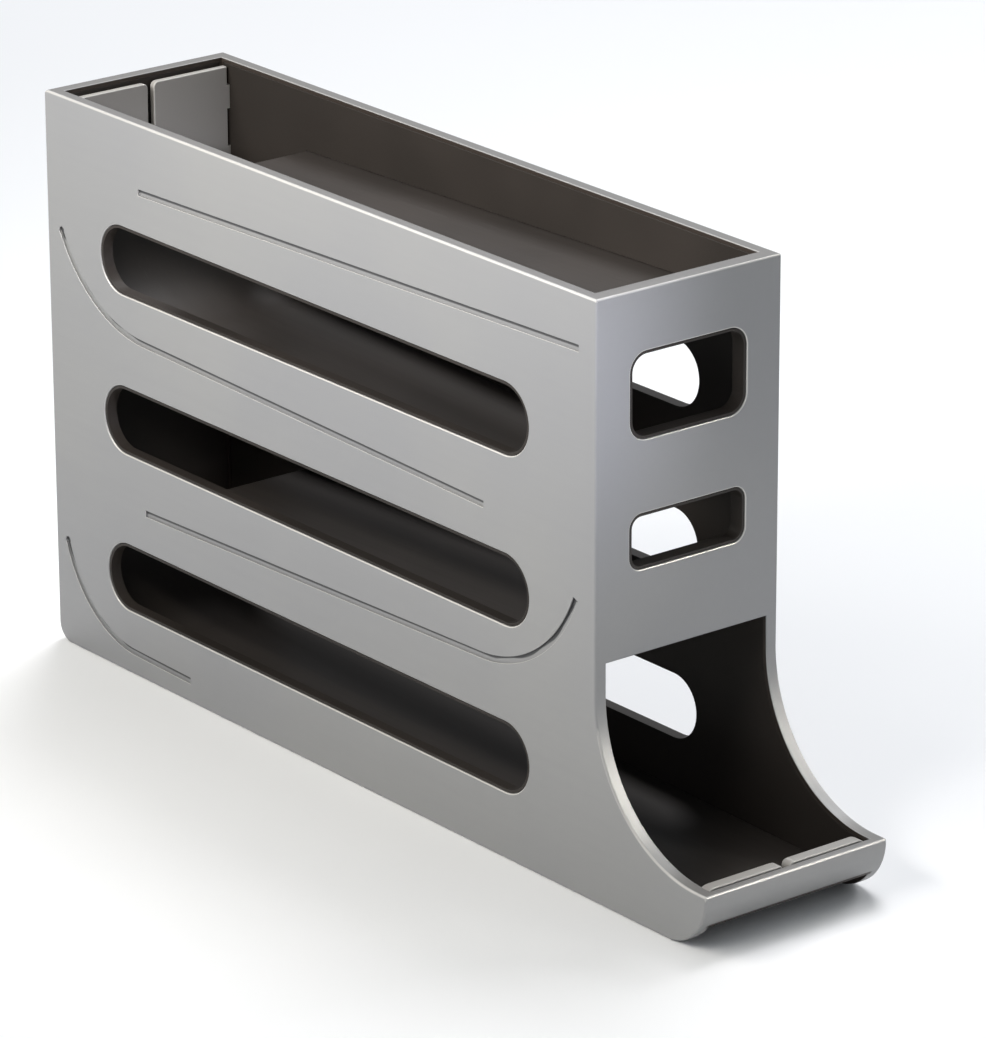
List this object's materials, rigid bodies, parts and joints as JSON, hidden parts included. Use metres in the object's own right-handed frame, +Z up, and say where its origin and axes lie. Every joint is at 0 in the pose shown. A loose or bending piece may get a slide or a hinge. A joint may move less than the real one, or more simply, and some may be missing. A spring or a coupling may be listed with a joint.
{
  "type": "rolling egg dispenser",
  "caption": "Narrow tiered rolling dispenser with an open top, slotted side panels, sloped and curved inner ramps, a windowed front and a scooped mouth behind a low lip.",
  "frame": {"origin": "centre of the bounding box's bottom, on the surface that the rack stands on", "axes": "+X from the back wall to the lip, +Y across from the left side panel to the right one, +Z up"},
  "size_m": [0.368, 0.0786, 0.21],
  "materials": {
    "shell": "silver grey moulded plastic, satin with a fine brushed look",
    "liner": "dark brown-black moulded plastic, matt",
    "board": "dark brown-grey bent plastic sheet, smooth and slightly glossy",
    "trim": "warm grey moulded plastic, satin"
  },
  "bodies": {
    "root": {"left_side_panel": "shell", "right_side_panel": "shell", "front_panel": "shell", "back_panel": "shell", "front_lip": "shell", "left_liner": "liner", "right_liner": "liner", "front_liner": "liner", "back_liner": "liner", "rear_guide": "trim", "top_ramp": "board", "upper_ramp": "board", "lower_ramp": "board", "floor_ramp": "board"}
  },
  "joints": []
}
